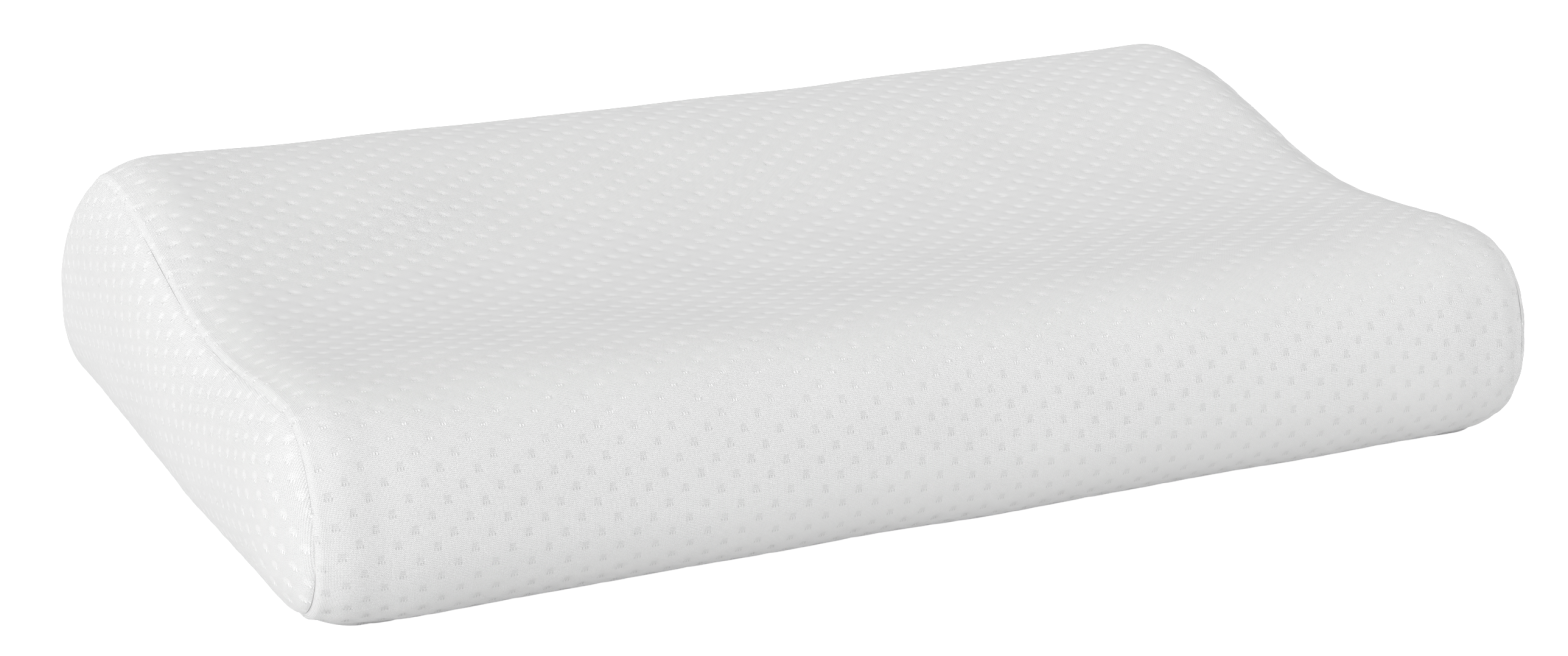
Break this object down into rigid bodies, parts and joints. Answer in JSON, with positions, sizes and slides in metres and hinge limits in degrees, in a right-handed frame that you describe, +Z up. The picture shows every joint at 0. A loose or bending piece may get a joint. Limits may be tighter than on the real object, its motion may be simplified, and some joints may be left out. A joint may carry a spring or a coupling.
{
  "type": "contour bed pillow",
  "caption": "Wave-shaped foam bed pillow with a high and a low neck lobe, in a thin liner and a white knitted cover closed by a zip along the back.",
  "frame": {"origin": "centre of the pillow's footprint, on the surface it lies on", "axes": "+X along the pillow's length towards its right end, +Y from the low front lobe to the high back lobe with the zip, +Z up"},
  "size_m": [0.482, 0.3104, 0.0986],
  "materials": {
    "cover_knit": "matte",
    "liner_jersey": "matte",
    "memory_foam": "matte",
    "zip_tape": "matte",
    "zip_nylon": "satin",
    "sewing_thread": "satin",
    "zip_metal": "satin"
  },
  "bodies": {
    "cover": {"foam_core": "memory_foam", "liner_sleeve": "liner_jersey", "liner_end_left": "liner_jersey", "liner_end_right": "liner_jersey", "cover_wrap": "cover_knit", "cover_end_left": "cover_knit", "cover_end_right": "cover_knit", "end_seam_thread_left": "sewing_thread", "end_seam_thread_right": "sewing_thread", "zip_tape_upper": "zip_tape", "zip_tape_lower": "zip_tape", "zip_coil_upper": "zip_nylon", "zip_coil_lower": "zip_nylon", "zip_top_stop_upper": "zip_metal", "zip_top_stop_lower": "zip_metal", "zip_bottom_stop": "zip_metal", "zip_stitch_upper": "sewing_thread", "zip_stitch_lower": "sewing_thread", "zip_bartack_left": "sewing_thread", "zip_bartack_right": "sewing_thread"},
    "slider": {"zip_slider": "zip_metal"},
    "pull": {"zip_pull": "zip_metal"}
  },
  "joints": [
    {"name": "zip_travel", "type": "slide", "parent": "cover", "child": "slider", "axis": [-1, 0, 0], "range_m": [0, 0.369]},
    {"name": "pull_swing", "type": "hinge", "parent": "slider", "child": "pull", "pos_m": [0.1845, 0.1528, 0.03], "axis": [0, 0, 1], "range_deg": [-180, 0]}
  ]
}
